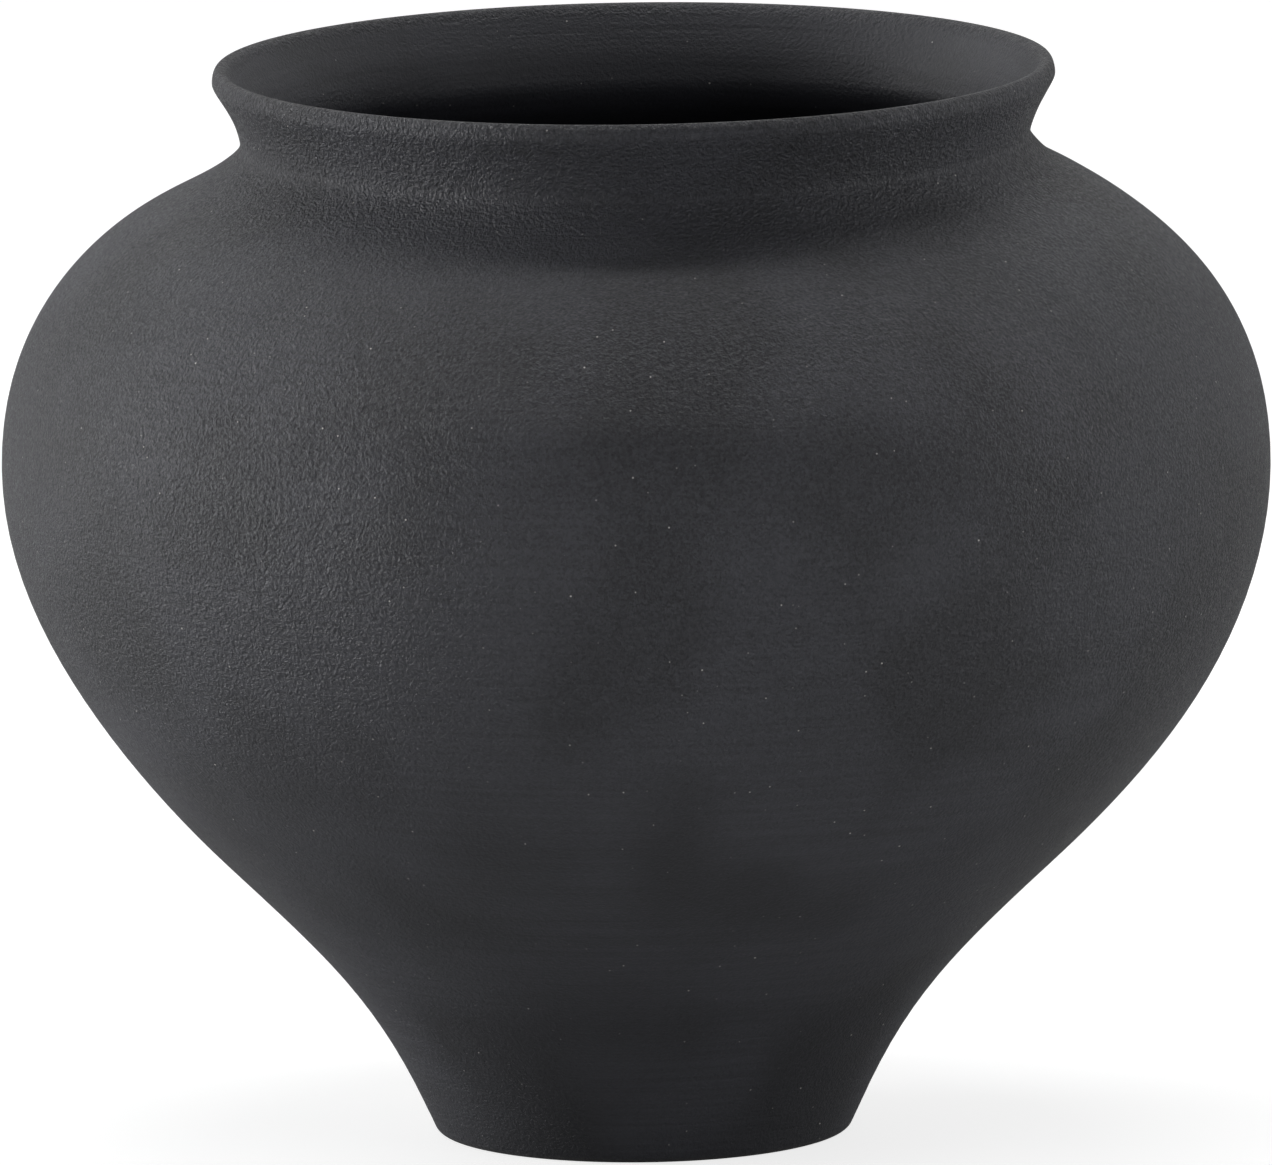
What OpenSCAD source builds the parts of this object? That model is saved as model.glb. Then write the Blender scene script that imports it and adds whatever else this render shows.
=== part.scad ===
// Barro negro clay pot: a wide round jar on a narrow foot, with a short neck
// and a rolled lip. The fired pot is one piece of clay. The solids here are the
// sections that it is built up from, divided at the potter's joining seams.
// Millimetres, +Z up. The origin is the middle of the foot, on the plane that
// the pot stands on, and every section is turned about the Z axis.

/* [Overall] */
// Height from the resting plane to the crest of the lip
pot_h = 255.5; // [252:0.5:262]
// Greatest diameter, at the belly
belly_d = 300; // [290:1:312]
// Height of the belly's widest ring
belly_z = 160; // [154:1:166]

/* [Foot] */
// Diameter of the foot where it starts to flare
foot_d = 99; // [94:1:106]
// Slope of the wall where it leaves the foot, in degrees above level
foot_slope = 67; // [62:1:72]
// Round on the foot's outer edge
foot_round = 2.5; // [1.5:0.5:4]
// Width of the ring that the pot rests on
rest_w = 10; // [7:1:13]
// Depth of the hollow inside the resting ring
hollow_h = 1.5; // [1:0.5:3]

/* [Flare] */
// Diameter where the hollow flare turns into the round belly
turn_d = 198; // [192:1:204]
// Height of that turn
turn_z = 66.5; // [62:0.5:70]
// Slope of the wall at that turn, in degrees above level
turn_slope = 43.7; // [41:0.1:47]

/* [Shoulder] */
// Diameter where the shoulder meets the foot of the neck
shoulder_d = 224; // [218:1:230]
// Height of that ring
shoulder_z = 223.5; // [220:0.5:226]
// Slope of the shoulder there, in degrees above level
shoulder_slope = 29.5; // [26:0.5:33]

/* [Neck and lip] */
// Smallest outside diameter of the neck
neck_d = 187.2; // [184:0.1:190]
// Height of that ring
neck_z = 238; // [236:0.5:240]
// Greatest outside diameter of the lip
lip_d = 199; // [196:0.5:202]
// Height of the lip's round edge above its widest ring
lip_rise = 3.5; // [3:0.5:4.5]
// Distance of the lip's crest inside its widest ring
crest_in = 1.5; // [1:0.5:2.5]

/* [Clay] */
// Thickness of the floor
floor_t = 9; // [7:0.5:11]
// Thickness of the wall just above the foot
foot_wall_t = 8; // [6.5:0.5:9]
// Thickness of the wall at the belly
belly_wall_t = 6; // [5:0.5:7]
// Thickness of the wall at the neck
neck_wall_t = 4.8; // [4:0.2:5.6]

/* [Hidden] */
// Flat steps in one full turn, and in one stretch of the outline
turn_steps = 180;
curve_steps = 14;
// Colour of the clay, a little lighter where a section was shaved drier
clay = [0.20, 0.20, 0.21];
clay_dry = [0.25, 0.25, 0.26];
clay_rim = [0.29, 0.29, 0.30];

// Radii and heights of the rings that shape the outline
foot_r = foot_d / 2;
turn_r = turn_d / 2;
belly_r = belly_d / 2;
shoulder_r = shoulder_d / 2;
neck_r = neck_d / 2;
lip_r = lip_d / 2;
lip_z = pot_h - lip_rise;
rest_in_r = foot_r - rest_w;
floor_edge_r = foot_r - 15;

// The outside of the wall, from the foot to the lip's widest ring, is a chain of
// smooth stretches. Each one is [start, slope, reach, end, slope, reach], where
// reach says how far the curve follows the slope before it bends away.
foot_edge = [foot_r, foot_round * (1 - cos(foot_slope))];
STRETCHES = [
  [foot_edge, foot_slope, 32, [turn_r, turn_z], turn_slope, 35],
  [[turn_r, turn_z], turn_slope, 32.5, [belly_r, belly_z], 90, 38],
  [[belly_r, belly_z], 90, 35.5, [shoulder_r, shoulder_z], 180 - shoulder_slope, 19.5],
  [[shoulder_r, shoulder_z], 180 - shoulder_slope, 6.5, [neck_r, neck_z], 90, 4.7],
  [[neck_r, neck_z], 90, 5.7, [lip_r, lip_z], 90, 1.5]
];
// Wall thickness at the ends of the stretches
WALLS = [
  foot_wall_t, (foot_wall_t + belly_wall_t) / 2, belly_wall_t,
  (belly_wall_t + neck_wall_t) / 2, neck_wall_t, neck_wall_t
];
// Where each seam meets the outside and the inside of the wall, in stretches from
// the foot. The slant gives the wet clay a wide face to be scored and pressed on.
foot_seam = [0.06, 0.30];
flare_seam = [0.52, 0.60];
turn_seam = [1, 1.06];
belly_seam = [2, 2.07];
neck_seam = [3, 3.22];
lip_seam = [4.42, 4.56];

// A point on a smooth curve from a to d that leaves along b and arrives from c
function bend(a, b, c, d, t) =
  pow(1 - t, 3) * a + 3 * pow(1 - t, 2) * t * b + 3 * (1 - t) * t * t * c + pow(t, 3) * d;
// The direction of the same curve
function heading(a, b, c, d, t) =
  pow(1 - t, 2) * (b - a) + 2 * (1 - t) * t * (c - b) + t * t * (d - c);
function ray(slope) = [cos(slope), sin(slope)];
function leave(s) = s[0] + s[2] * ray(s[1]);
function arrive(s) = s[3] - s[5] * ray(s[4]);
function index(u) = min(floor(u), len(STRETCHES) - 1);
function wall_t(u) =
  let (i = index(u)) WALLS[i] + (u - i) * (WALLS[i + 1] - WALLS[i]);
// Outside and inside of the wall at u stretches from the foot
function outside(u) =
  let (i = index(u), s = STRETCHES[i]) bend(s[0], leave(s), arrive(s), s[3], u - i);
function direction(u) =
  let (i = index(u), s = STRETCHES[i], h = heading(s[0], leave(s), arrive(s), s[3], u - i))
  h / norm(h);
function inside(u) =
  let (h = direction(u)) outside(u) + wall_t(u) * [-h[1], h[0]];
// Even steps from a to b
function steps(a, b) =
  let (n = max(3, ceil(abs(b - a) * curve_steps))) [for (i = [0 : n]) a + (b - a) * i / n];

// A ring of wall between two seams
module wall_ring(low, high) {
  rotate_extrude($fn = turn_steps)
    polygon(concat(
      [for (u = steps(low[0], high[0])) outside(u)],
      [for (u = steps(high[1], low[1])) inside(u)]
    ));
}

// Floor slab with a shallow hollow beneath, so that it stands on a ring
module base_disc() {
  edge = [for (a = [0 : foot_slope / 5 : foot_slope])
    [foot_r - foot_round * (sin(foot_slope) - sin(a)), foot_round * (1 - cos(a))]];
  color(clay)
    rotate_extrude($fn = turn_steps)
      polygon(concat(
        [[0, hollow_h], [rest_in_r - hollow_h, hollow_h], [rest_in_r, 0]],
        edge,
        [for (u = steps(0.02, foot_seam[0])) outside(u)],
        [[floor_edge_r, floor_t], [0, floor_t]]
      ));
}

// Narrow foot that rises from the floor slab, thickened inside its lower corner
module foot_wall() {
  corner_top = inside(foot_seam[1]);
  corner = [for (t = [1/6 : 1/6 : 1])
    bend(corner_top, corner_top - 6 * direction(foot_seam[1]),
      [floor_edge_r + 6, floor_t + 3], [floor_edge_r, floor_t], t)];
  color(clay_dry)
    rotate_extrude($fn = turn_steps)
      polygon(concat(
        [for (u = steps(foot_seam[0], flare_seam[0])) outside(u)],
        [for (u = steps(flare_seam[1], foot_seam[1])) inside(u)],
        corner
      ));
}

// Hollow flare that opens from the foot towards the belly
module flare_wall() {
  color(clay) wall_ring(flare_seam, turn_seam);
}

// Lower half of the belly, up to its widest ring
module lower_belly() {
  color(clay_dry) wall_ring(turn_seam, belly_seam);
}

// Upper half of the belly, closing in to the foot of the neck
module shoulder() {
  color(clay) wall_ring(belly_seam, neck_seam);
}

// Short hollow-sided neck
module neck_collar() {
  color(clay_dry) wall_ring(neck_seam, lip_seam);
}

// Rolled lip: a round outer band, the crest, and a soft inner edge
module rim_lip() {
  crest = [lip_r - crest_in, pot_h];
  band = [for (a = [15 : 15 : 90])
    [crest[0] + crest_in * cos(a), lip_z + lip_rise * sin(a)]];
  foot = inside(lip_seam[1]);
  inner_edge = [for (t = [1/8 : 1/8 : 1])
    bend(crest, crest - [2.2, 0], foot + 4.5 * direction(lip_seam[1]), foot, t)];
  color(clay_rim)
    rotate_extrude($fn = turn_steps)
      polygon(concat(
        [for (u = steps(lip_seam[0], len(STRETCHES))) outside(u)],
        band,
        inner_edge
      ));
}

base_disc();
foot_wall();
flare_wall();
lower_belly();
shoulder();
neck_collar();
rim_lip();
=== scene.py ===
import math

import bpy
import numpy as np
from mathutils import Matrix, Vector


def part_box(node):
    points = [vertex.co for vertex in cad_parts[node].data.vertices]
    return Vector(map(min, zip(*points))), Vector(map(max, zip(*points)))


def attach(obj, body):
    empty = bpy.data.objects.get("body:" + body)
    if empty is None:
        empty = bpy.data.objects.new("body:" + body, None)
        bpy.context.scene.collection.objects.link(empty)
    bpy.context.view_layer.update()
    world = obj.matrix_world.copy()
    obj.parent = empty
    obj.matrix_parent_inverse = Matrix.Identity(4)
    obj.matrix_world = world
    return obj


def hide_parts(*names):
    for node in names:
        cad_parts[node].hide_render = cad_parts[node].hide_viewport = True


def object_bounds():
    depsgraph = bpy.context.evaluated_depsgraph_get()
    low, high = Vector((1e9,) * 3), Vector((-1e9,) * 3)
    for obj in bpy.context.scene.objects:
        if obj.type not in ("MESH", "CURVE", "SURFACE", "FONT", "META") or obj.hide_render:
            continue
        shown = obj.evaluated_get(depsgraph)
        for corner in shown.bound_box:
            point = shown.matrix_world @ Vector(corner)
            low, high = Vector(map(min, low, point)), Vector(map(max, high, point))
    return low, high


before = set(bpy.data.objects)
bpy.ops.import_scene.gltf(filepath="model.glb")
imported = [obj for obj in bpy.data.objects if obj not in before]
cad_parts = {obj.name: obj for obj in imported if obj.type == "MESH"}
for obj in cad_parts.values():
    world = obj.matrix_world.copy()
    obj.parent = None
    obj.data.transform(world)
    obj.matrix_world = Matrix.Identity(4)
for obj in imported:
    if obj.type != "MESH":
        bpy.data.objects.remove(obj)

CAD_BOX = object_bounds()
POT_HEIGHT = CAD_BOX[1][2]
MM = 0.001

# From the underside, up the wall and over the lip
NODES = ("base_disc", "foot_wall", "flare_wall", "lower_belly", "shoulder", "neck_collar",
         "rim_lip")

AROUND = 420  # steps in one turn
OUTER_STEP = 1.2 * MM  # spacing of the rings along the outside
INNER_STEP = 2.4 * MM  # and along the inside and the underside
SAME_RING = 0.04 * MM  # rings nearer than this are one ring
CORNER = math.cos(math.radians(32))  # a sharper turn than this stays a corner

# Out of round: waves in one turn, their depth in mm, where they start, and how far they twist
# from the foot to the lip
WAVES = ((2, 0.22, -0.9, 1.5), (3, 0.13, 0.6, -2.2), (5, 0.08, 1.9, 3.0))
# Other ways the jar is off true: how far, at what share of its height, and over what height
PINCH = ((0.4 * MM, 0.926, 3 * MM),)  # drawn in where the neck is narrowest
LEAN = ((1.15 * MM, 0.39, 36 * MM), (0.5 * MM, 1.0, 26 * MM), (0.5 * MM, 0.94, 8 * MM))
TILT = ((1.2 * MM, 0.906, 10.5 * MM), (0.25 * MM, 1.0, 8 * MM))  # higher on the right
SAG = ((0.24 * MM, 0.905, 3.2 * MM),)  # sunk on the right
TURNING_DEPTH = 0.018 * MM  # the wheel's faint spiral
TURNING_PITCH = 5.2 * MM
TURNING_FADES = 31 * MM
STEADY_RADIUS = 30 * MM  # nearer the axis than this, the jar is less off true
STEADY_HEIGHT = 6 * MM  # and so it is nearer the floor than this

# Clay: nearly black, a little blue, and dusty where hands and shelves rub it
CLAY_DARK = (0.0071, 0.0074, 0.0093, 1)
CLAY_PALE = (0.0400, 0.0412, 0.0498, 1)
# Painted shade: the colour that darkens the dents of the pits, as shade falls in them
PIT_SHADE_COLOUR = (0.004, 0.004, 0.0045, 1)
SPECK_COLOUR = (0.60, 0.58, 0.55, 1)
RUBBED = (0.055, 0.054, 0.054, 1)
ROUGHNESS = 0.53
SPECULAR = 0.5

# Sizes of the clay's marks
GRAIN = 0.9 * MM
SAND = 0.55 * MM
LUMPS = 2.6 * MM
BLOTCHES = 14 * MM
CLOUDS = 70 * MM
WORKED = 45 * MM  # patches where the drawn streaks show
DRAWN = 1.1 * MM
WIPED = 2.6 * MM
TRIMMED = 1.0 * MM
STREAK_RUN = 70 * MM
SPECKS = (3.8 * MM, 0.27 * MM)  # spacing and radius
PITS = (2.7 * MM, 0.34 * MM)
SCUFFS = (9 * MM, 0.2 * MM)

# How much each mark counts in the clay's tone, roughness and relief
# The sand strength's weight in the tone makes the shoulder and neck paler than the lower body:
# partly painted glint.
TONE = {"grain": 0.08, "sand": 0.26, "lumps": 0.05, "blotches": 0.32, "clouds": 0.4,
        "drawn": 0.9, "wiped": 0.9, "trimmed": 0.05, "sand_and_painted_glint": 0.22}
ROUGH = {"grain": -0.05, "sand": -0.12, "blotches": 0.14, "worn": -0.06}
RELIEF = {"grain": 0.17, "sand": 0.06, "lumps": 0.03, "drawn": 0.14, "wiped": 0.12,
          "trimmed": 0.005, "blotches": 0.10, "specks": 0.02, "pits": -0.12}

# Strength of the floor and the backdrop: as light on the jar, and as seen
FLOOR_GLOW = (0.067, 0.76)
SKY_GLOW = (0.25, 1.0)
FLOOR_HALF = 6.0

# Soft boxes: azimuth, elevation, distance, width and height, watts
SQUARE = (0.9, 0.9)
SOFT_BOXES = {
    "left_side": (262, 4.8, 2.0, (0.9, 0.57), 26),
    "left_tall": (255, 15, 2.0, (0.3, 1.2), 6),
    "left_back": (225, 30, 2.0, SQUARE, 2.5),
    "right_front": (50, 10, 2.0, SQUARE, 5.5),
    "right_side": (112, 5.9, 2.0, (0.9, 0.63), 6),
    "right_back": (125, 30, 2.0, SQUARE, 1.6),
    "back": (180, 30, 2.5, (3.0, 1.5), 6.5),
    "top_back": (180, 70, 2.0, (1.4, 0.2), 14.6),
    "over_floor": (0, 0, 0.9, (1.6, 0.6), 9.7),
}
OVER_FLOOR_HEIGHT = 1.1
OVER_FLOOR_SPREAD = math.radians(80)

CAMERA_DISTANCE = 7.92
CAMERA_RISE = math.radians(9.4)
CAMERA_LEAN = math.radians(-0.7)
CAMERA_AIM = (-0.0003, 0, 0.131)
CAMERA_LENS = 946


# ---------------------------------------------------------------- the wall's section

def node_rings(node):
    """Radius and height of every point of a CAD node, and of both ends of its edges."""
    mesh = node.data
    co = np.empty(len(mesh.vertices) * 3)
    mesh.vertices.foreach_get("co", co)
    co = co.reshape(-1, 3)
    rings = np.column_stack([np.hypot(co[:, 0], co[:, 1]), co[:, 2]])
    ends = np.empty(len(mesh.edges) * 2, int)
    mesh.edges.foreach_get("vertices", ends)
    return rings, rings[ends.reshape(-1, 2)]


def apart(rings, ring):
    """How far each of some rings is from one ring."""
    return np.hypot(rings[:, 0] - ring[0], rings[:, 1] - ring[1])


def one_of_each(rings):
    """The separate rings, without the points that repeat them."""
    kept = rings[:0]
    for ring in rings[np.lexsort((rings[:, 0], rings[:, 1]))]:
        if not len(kept) or apart(kept[-12:], ring).min() > SAME_RING:
            kept = np.vstack([kept, ring])
    return kept


def wall_limits(height, edges):
    """Least and greatest radius of the wall at one height."""
    low, high = edges[:, :, 1].min(1), edges[:, :, 1].max(1)
    crossing = (low < height + SAME_RING) & (high > height - SAME_RING)
    a, b = (edges[crossing & (high - low > SAME_RING), end] for end in (0, 1))
    share = np.clip((height - a[:, 1]) / (b[:, 1] - a[:, 1]), 0, 1)
    radius = a[:, 0] + share * (b[:, 0] - a[:, 0])
    return radius.min(), radius.max()


def read_section():
    """The section as one line of rings, the number of its first outer ring and of its
    crest, and the first and last ring that each node has outside and inside."""
    parts = {name: node_rings(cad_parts[name]) for name in NODES}
    edges = np.vstack([part[1] for part in parts.values()])
    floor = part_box("base_disc")[1].z
    under, outside, inside = [], [], []
    rings = np.vstack([part[0] for part in parts.values()])
    for radius, height in one_of_each(np.unique(np.round(rings, 6), axis=0)):
        least, greatest = wall_limits(height, edges)
        if radius > greatest - SAME_RING:
            outside.append((radius, height))
        elif radius < least + SAME_RING and height < floor / 2:
            under.append((radius, height))
        elif radius < least + SAME_RING and height > floor - SAME_RING:
            inside.append((radius, height))
    under.sort()
    outside.sort(key=lambda ring: ring[1])
    inside.sort(key=lambda ring: -ring[1])
    line = [(0, under[0][1])] + under + outside + inside + [(0, inside[-1][1])]
    line = np.array(line)
    first, crest = len(under) + 1, len(under) + len(outside)
    held = {}
    for name, (rings, _) in parts.items():
        has = [apart(rings, ring).min() < SAME_RING for ring in line]
        has[0] = has[-1] = name == NODES[0]
        low = [i for i in range(crest + 1) if has[i]]
        high = [i for i in range(crest, len(line)) if has[i]]
        held[name] = low[0], low[-1], high[0], high[-1]
    return line, first, crest, held


def smooth(line, first, crest):
    """A smooth curve through the rings, and the number that each ring gets on it."""
    links = np.diff(line, axis=0)
    lengths = np.hypot(*links.T)[:, None]
    slopes = links / lengths
    before = np.vstack([slopes[:1], slopes])
    after = np.vstack([slopes, slopes[-1:]])
    near, far = np.vstack([lengths[:1], lengths]), np.vstack([lengths, lengths[-1:]])
    tangents = (before * far + after * near) / (near + far)
    corner = (before * after).sum(1) < CORNER
    points, numbers = [line[:1]], [0]
    for i, length in enumerate(lengths[:, 0]):
        step = OUTER_STEP if first <= i < crest else INNER_STEP
        count = max(2, math.ceil(length / step))
        leave = slopes[i] if corner[i] else tangents[i]
        arrive = slopes[i] if corner[i + 1] else tangents[i + 1]
        t = (np.arange(1, count + 1) / count)[:, None]
        points.append(
            (2 * t**3 - 3 * t**2 + 1) * line[i] + (t**3 - 2 * t**2 + t) * length * leave
            + (3 * t**2 - 2 * t**3) * line[i + 1] + (t**3 - t**2) * length * arrive)
        numbers.append(numbers[-1] + count)
    return np.maximum(np.vstack(points), 0), numbers


# ---------------------------------------------------------------- the turned clay

def swell(height, terms):
    """The sum of a few sizes, each reached at its own height and fading over two widths."""
    return sum(size * np.exp(-((height - share * POT_HEIGHT) / width) ** 2)
               for size, share, width in terms)


def hand_made(curve, along, angle):
    """Points of the turned wall, ring by ring, off true as a hand-made jar is."""
    radius, height = curve[:, :1], curve[:, 1:]
    level = height / POT_HEIGHT
    grip = np.clip(radius / STEADY_RADIUS, 0, 1) * np.clip(height / STEADY_HEIGHT, 0, 1)
    out_of_round = MM * sum(depth * np.cos(count * angle + start + twist * level)
                            for count, depth, start, twist in WAVES)
    turning = TURNING_DEPTH * np.sin(2 * math.pi * along / TURNING_PITCH + angle)
    turning = turning * (0.55 + 0.45 * np.sin(along / TURNING_FADES + 1.0))
    radius = radius + grip * (out_of_round + turning) - swell(height, PINCH)
    sag = swell(height, SAG) * (1 + np.cos(angle)) ** 2
    x = radius * np.cos(angle) + swell(height, LEAN) * grip
    y = radius * np.sin(angle)
    z = height + (swell(height, TILT) * np.cos(angle) - sag) * grip
    return np.stack([x, y, np.broadcast_to(z, x.shape)], axis=2)


def facing(points):
    """Outward normals of a grid of rings."""
    around = np.roll(points, -1, 1) - np.roll(points, 1, 1)
    up = np.gradient(points, axis=0)
    normals = np.cross(around, up)
    size = np.linalg.norm(normals, axis=2, keepdims=True)
    normals = normals / np.maximum(size, 1e-12)
    normals[0], normals[-1] = (0, 0, -1), (0, 0, 1)
    return normals


def strip(low, high):
    """Four-cornered faces between two rings, given each ring's first point number."""
    here = np.arange(AROUND)
    there = (here + 1) % AROUND
    return np.column_stack([low + here, low + there, high + there, high + here])


def section_piece(name, points, normals, along, runs):
    """One watertight ring of clay: its runs of the surface, joined by its seam faces."""
    verts, norms, dist, faces, ends = [], [], [], [], []
    count = 0
    for first, last in runs:
        ring_at = []
        for k in range(first, last + 1):
            tip = k in (0, len(points) - 1)
            rows = slice(0, 1) if tip else slice(None)
            verts.append(points[k, rows])
            norms.append(normals[k, rows])
            dist.append(np.full(len(verts[-1]), along[k, 0]))
            ring_at.append((count, tip))
            count += len(verts[-1])
        for (low, low_tip), (high, high_tip) in zip(ring_at, ring_at[1:]):
            quads = strip(low, high)
            if low_tip:
                quads = np.column_stack([np.full(AROUND, low), quads[:, 2:]])
            elif high_tip:
                quads = np.column_stack([quads[:, :2], np.full(AROUND, high)])
            faces.extend(quads.tolist())
        ends.append((ring_at[0], ring_at[-1]))
    skin = len(faces)
    for run, next_run in zip(ends, ends[1:] + ends[:1]):
        (low, low_tip), (high, high_tip) = run[1], next_run[0]
        if not low_tip and not high_tip:
            faces.extend(strip(low, high).tolist())
    mesh = bpy.data.meshes.new(name)
    mesh.from_pydata(np.vstack(verts), [], faces)
    mesh.update()
    attribute = mesh.attributes.new("along", "FLOAT", "POINT")
    attribute.data.foreach_set("value", np.concatenate(dist).astype(np.float32))
    shade(mesh, np.vstack(norms), skin)
    return bpy.data.objects.new(name, mesh)


def shade(mesh, normals, skin):
    """Smooth over the whole jar's skin, so that no seam shows, and flat on seam faces."""
    mesh.shade_smooth()
    corner_point = np.empty(len(mesh.loops), int)
    mesh.loops.foreach_get("vertex_index", corner_point)
    corners = normals[corner_point]
    for polygon in mesh.polygons[skin:]:
        corners[list(polygon.loop_indices)] = polygon.normal
    mesh.normals_split_custom_set(corners)


def build_pot():
    """The jar's sections, each in place of the CAD node with its name."""
    line, first, crest, held = read_section()
    curve, numbers = smooth(line, first, crest)
    steps = np.hypot(*np.diff(curve, axis=0).T)
    along = np.concatenate([[0], np.cumsum(steps)])[:, None]
    angle = 2 * math.pi * np.arange(AROUND)[None, :] / AROUND
    points = hand_made(curve, along, angle)
    normals = facing(points)
    material = black_clay(float(along[numbers[crest], 0]))
    for name, (low, low_end, high, high_end) in held.items():
        runs = [(numbers[low], numbers[low_end]), (numbers[high], numbers[high_end])]
        if low_end == high:
            runs = [(numbers[low], numbers[high_end])]
        piece = section_piece(name + "_clay", points, normals, along, runs)
        bpy.context.scene.collection.objects.link(piece)
        piece.data.materials.append(material)
        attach(piece, "root")
        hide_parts(name)


# ---------------------------------------------------------------- material

def make(tree, kind, inputs=None, **settings):
    """A new shader node. An input's value is a number, a colour or another node's output."""
    made = tree.nodes.new("ShaderNode" + kind)
    for name, value in settings.items():
        setattr(made, name, value)
    for name, value in (inputs or {}).items():
        if isinstance(value, bpy.types.NodeSocket):
            tree.links.new(value, made.inputs[name])
        else:
            made.inputs[name].default_value = value
    return made


def noise(tree, place, size, detail=1.0, roughness=0.5):
    """Cloudy noise between about 0.3 and 0.7, with blotches of about one size in metres."""
    inputs = {"Vector": place, "Scale": 1 / size, "Detail": detail, "Roughness": roughness}
    return make(tree, "TexNoise", inputs).outputs["Fac"]


def span(tree, value, low, high, to_low=0.0, to_high=1.0):
    """The value's stretch from low to high, spread over another range and held there."""
    inputs = {"Value": value, "From Min": low, "From Max": high,
              "To Min": to_low, "To Max": to_high}
    return make(tree, "MapRange", inputs).outputs["Result"]


def sum_of(tree, *terms):
    """Adds up pairs of an output and the weight it counts with."""
    total = 0.0
    for output, weight in terms:
        step = make(tree, "Math", {0: output, 1: weight, 2: total}, operation="MULTIPLY_ADD")
        total = step.outputs[0]
    return total


def weighed(tree, marks, weights):
    """Adds up the marks that a table of weights names."""
    return sum_of(tree, *((marks[name], weight) for name, weight in weights.items()))


def product(tree, a, b):
    return make(tree, "Math", {0: a, 1: b}, operation="MULTIPLY").outputs[0]


def shift(tree, place, offset):
    return make(tree, "VectorMath", {0: place, 1: offset}, operation="ADD").outputs[0]


def dots(tree, place, spacing, radius, offset):
    """Sparse round dots of about one radius: how far inside one a point is, from 0 to 1,
    and a number that differs from dot to dot."""
    moved = shift(tree, place, offset)
    cells = make(tree, "TexVoronoi", {"Vector": moved, "Scale": 1 / spacing})
    inside = span(tree, cells.outputs["Distance"], 0.0, radius / spacing, 1.0, 0.0)
    shade_of = make(tree, "SeparateColor", {"Color": cells.outputs["Color"]}).outputs[0]
    return inside, shade_of


def grains(tree, place, size):
    """Grains of sand side by side, each with its own shade from -1 to 1."""
    cells = make(tree, "TexVoronoi", {"Vector": place, "Scale": 1 / size})
    shades = make(tree, "SeparateColor", {"Color": cells.outputs["Color"]})
    return span(tree, shades.outputs["Red"], 0.0, 1.0, -1.0, 1.0)


def scratches(tree, place, spacing, width, lean):
    """Short thin scratches, 1 on them and 0 around them."""
    lying = make(tree, "Mapping", {"Vector": place, "Rotation": lean, "Scale": (1, 1, 0.16)})
    return dots(tree, lying.outputs["Vector"], spacing, width, (0, 0, 0))[0]


def streaks(tree, parts, along, pitch):
    """Long uneven streaks round the jar, as fingers and a rib leave them on the wheel."""
    place = make(tree, "CombineXYZ", {
        "X": product(tree, parts["X"], 1 / STREAK_RUN),
        "Y": product(tree, parts["Y"], 1 / STREAK_RUN),
        "Z": product(tree, along, 1 / pitch)}).outputs[0]
    return make(tree, "TexNoise", {"Vector": place, "Scale": 1.0, "Detail": 1.5}).outputs["Fac"]


def tool_lines(tree, parts, along, pitch):
    """The even spiral that a trimming tool cuts, from -1 to 1."""
    angle = make(tree, "Math", {0: parts["Y"], 1: parts["X"]}, operation="ARCTAN2").outputs[0]
    phase = sum_of(tree, (along, 2 * math.pi / pitch), (angle, 1.0))
    return make(tree, "Math", {0: phase}, operation="SINE").outputs[0]


def blend(tree, factor, a, b):
    """Colour a where the factor is 0 and colour b where it is 1."""
    return make(tree, "Mix", {0: factor, 6: a, 7: b}, data_type="RGBA").outputs[2]


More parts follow.
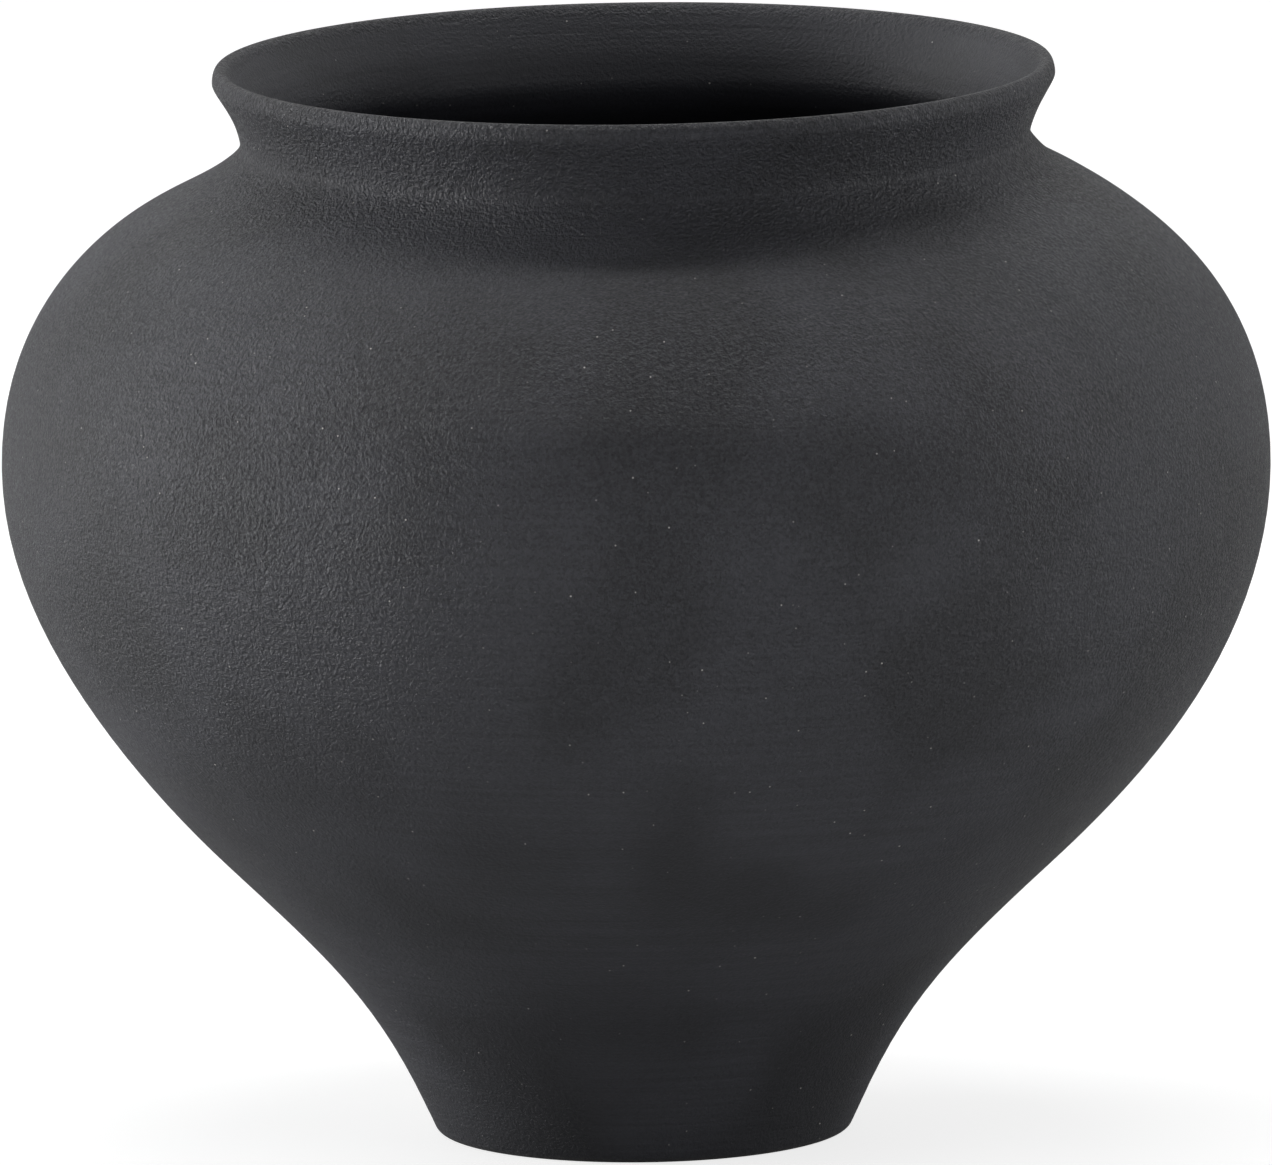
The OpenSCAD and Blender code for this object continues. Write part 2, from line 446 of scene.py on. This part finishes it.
def clay_marks(tree, place, crest):
    """Every mark on the clay by name. The wall's section reaches the crest of the lip after
    a given length, and the inside of the jar starts there."""
    parts = make(tree, "SeparateXYZ", {"Vector": place}).outputs
    along = make(tree, "Attribute", attribute_name="along").outputs["Fac"]
    height = parts["Z"]

    # The sand shows most on the shoulder and neck, and least on the foot and the inside. This is
    # partly real sand and partly painted glint: the sand's colour contrast and a paler tone are
    # raised on the lit shoulder and on the neck, where light grazes, and lowered on the dim lower
    # body.
    inner = span(tree, along, crest + 1 * MM, crest + 5 * MM)
    sand_and_painted_glint = product(tree, span(tree, height, 0.33 * POT_HEIGHT, 0.51 * POT_HEIGHT, 0.32, 1.0),
                    span(tree, height, 0.86 * POT_HEIGHT, 0.93 * POT_HEIGHT, 1.0, 1.3))
    sand_and_painted_glint = product(tree, sand_and_painted_glint, span(tree, inner, 0.0, 1.0, 1.0, 0.25))
    grain = span(tree, noise(tree, place, GRAIN, 2.0, 0.7), 0.33, 0.67, -1.0, 1.0)
    lumps = noise(tree, shift(tree, place, (0.3, 0.1, 0.2)), LUMPS, 1.0)
    lumps = span(tree, lumps, 0.33, 0.67, -1.0, 1.0)
    worked = span(tree, noise(tree, shift(tree, place, (0.9, 0.2, 0.6)), WORKED), 0.42, 0.6)
    low_down = span(tree, height, 20 * MM, 75 * MM, 1.0, 0.0)
    specks, speck_shade = dots(tree, place, *SPECKS, (0, 0, 0))
    pits, pit_shade = dots(tree, place, *PITS, (0.21, 0.13, 0.37))
    foot_edge = span(tree, height, 0.4 * MM, 1.6 * MM, 1.0, 0.0)
    lip_crest = span(tree, height, POT_HEIGHT - 1.2 * MM, POT_HEIGHT)
    return {
        "sand_and_painted_glint": sand_and_painted_glint,
        "grain": product(tree, grain, sand_and_painted_glint),
        "sand": product(tree, grains(tree, place, SAND), sand_and_painted_glint),
        "lumps": product(tree, lumps, sand_and_painted_glint),
        "blotches": noise(tree, place, BLOTCHES, 2.0),
        "clouds": noise(tree, shift(tree, place, (0.5, 0.7, 0.4)), CLOUDS, 1.0),
        "drawn": product(tree, streaks(tree, parts, along, DRAWN), worked),
        "wiped": product(tree, streaks(tree, parts, along, WIPED), inner),
        "trimmed": product(tree, tool_lines(tree, parts, along, TRIMMED), low_down),
        "specks": specks,
        "speck_shade": speck_shade,
        "pits": pits,
        "pit_shade": pit_shade,
        "scuffs": product(tree, scratches(tree, place, *SCUFFS, (0.9, 0.5, 0.4)),
                          span(tree, height, 9 * MM, 16 * MM, 1.0, 0.0)),
        "worn": sum_of(tree, (foot_edge, 1.0), (lip_crest, 0.45)),
    }


def clay_colour(tree, marks):
    """Dark clay and pale clay by tone, then painted shade in the pits, then the specks, worn edges
    and scuffs.
    """
    tone = span(tree, weighed(tree, marks, TONE), -0.02, 1.18)
    # The pits are real dents in the relief, painted darker here with the shade that falls in them
    painted_pit_shade = product(tree, marks["pits"], span(tree, marks["pit_shade"], 0.2, 1.0))
    speck = product(tree, span(tree, marks["specks"], 0.0, 0.5),
                    span(tree, marks["speck_shade"], 0.3, 1.0))
    dusty = product(tree, marks["worn"], span(tree, marks["grain"], -0.5, 0.5))
    colour = blend(tree, tone, CLAY_DARK, CLAY_PALE)
    for factor, over in ((painted_pit_shade, PIT_SHADE_COLOUR), (speck, SPECK_COLOUR), (dusty, RUBBED),
                         (marks["scuffs"], RUBBED)):
        colour = blend(tree, factor, colour, over)
    return colour


def black_clay(crest):
    """Fired black clay, left matt: gritty with sand to the touch, with the wheel's fine lines."""
    material = bpy.data.materials.new("black_clay")
    material.use_nodes = True
    tree = material.node_tree
    shader = tree.nodes["Principled BSDF"]
    marks = clay_marks(tree, make(tree, "TexCoord").outputs["Object"], crest)
    rough = span(tree, weighed(tree, marks, ROUGH), -0.2, 0.3, ROUGHNESS - 0.27, ROUGHNESS + 0.23)
    relief = weighed(tree, marks, RELIEF)
    bump = make(tree, "Bump", {"Height": relief, "Distance": MM})
    tree.links.new(clay_colour(tree, marks), shader.inputs["Base Color"])
    tree.links.new(rough, shader.inputs["Roughness"])
    tree.links.new(bump.outputs["Normal"], shader.inputs["Normal"])
    shader.inputs["Specular IOR Level"].default_value = SPECULAR
    return material


# ---------------------------------------------------------------- stage, light and camera

def glow(tree, as_light, as_seen):
    """One strength for the light that reaches the jar, and another for what is seen."""
    seen = make(tree, "LightPath").outputs["Is Camera Ray"]
    return span(tree, seen, 0.0, 1.0, as_light, as_seen)


def pale_floor():
    """A plain floor, nearly white."""
    mesh = bpy.data.meshes.new("floor")
    corners = [(x * FLOOR_HALF, y * FLOOR_HALF, 0) for x, y in ((-1, -1), (1, -1), (1, 1), (-1, 1))]
    mesh.from_pydata(corners, [], [(0, 1, 2, 3)])
    floor = bpy.data.objects.new("floor", mesh)
    bpy.context.scene.collection.objects.link(floor)
    material = bpy.data.materials.new("pale_floor")
    material.use_nodes = True
    tree = material.node_tree
    shader = tree.nodes["Principled BSDF"]
    shader.inputs["Base Color"].default_value = (0.4, 0.4, 0.4, 1)
    shader.inputs["Roughness"].default_value = 0.9
    shader.inputs["Specular IOR Level"].default_value = 0.1
    shader.inputs["Emission Color"].default_value = (1, 1, 1, 1)
    tree.links.new(glow(tree, *FLOOR_GLOW), shader.inputs["Emission Strength"])
    mesh.materials.append(material)


def sky():
    """A faint even light from everywhere, in front of a white backdrop."""
    world = bpy.data.worlds.new("studio")
    bpy.context.scene.world = world
    world.use_nodes = True
    background = world.node_tree.nodes["Background"]
    background.inputs["Color"].default_value = (1, 1, 1, 1)
    strength = glow(world.node_tree, *SKY_GLOW)
    world.node_tree.links.new(strength, background.inputs["Strength"])


def soft_light(name, azimuth, elevation, distance, size, watts):
    """A soft box of a width and a height, aimed at the middle of the jar. Azimuth 0 is in
    front of the jar and 90 to its right."""
    turn, rise = math.radians(azimuth), math.radians(elevation)
    aim = Vector((0, 0, POT_HEIGHT / 2))
    away = Vector((math.sin(turn) * math.cos(rise), -math.cos(turn) * math.cos(rise),
                   math.sin(rise)))
    light = bpy.data.lights.new(name, "AREA")
    light.shape = "RECTANGLE"
    light.size, light.size_y = size
    light.energy = watts
    lamp = bpy.data.objects.new(name, light)
    lamp.location = aim + away * distance
    lamp.rotation_euler = away.to_track_quat("Z", "Y").to_euler()
    lamp.visible_camera = False
    bpy.context.scene.collection.objects.link(lamp)
    return lamp


def lights():
    """Every soft box. The one over the floor points straight down."""
    lamps = {name: soft_light(name, *box) for name, box in SOFT_BOXES.items()}
    over = lamps["over_floor"]
    over.location.z = OVER_FLOOR_HEIGHT
    over.rotation_euler = (0, 0, 0)
    over.data.spread = OVER_FLOOR_SPREAD


def camera():
    """A long lens, a little above the jar, leaning less than a degree."""
    aim = Vector(CAMERA_AIM)
    back = Vector((0, -math.cos(CAMERA_RISE), math.sin(CAMERA_RISE)))
    data = bpy.data.cameras.new("camera")
    data.sensor_width = 36
    data.lens = CAMERA_LENS
    data.clip_end = 100
    view = bpy.data.objects.new("camera", data)
    turn = back.to_track_quat("Z", "Y").to_matrix().to_4x4()
    turn = turn @ Matrix.Rotation(CAMERA_LEAN, 4, "Z")
    view.matrix_world = Matrix.Translation(aim + back * CAMERA_DISTANCE) @ turn
    bpy.context.scene.collection.objects.link(view)
    bpy.context.scene.camera = view


camera()
lights()
sky()
pale_floor()
build_pot()
bpy.context.scene.view_settings.view_transform = "Standard"
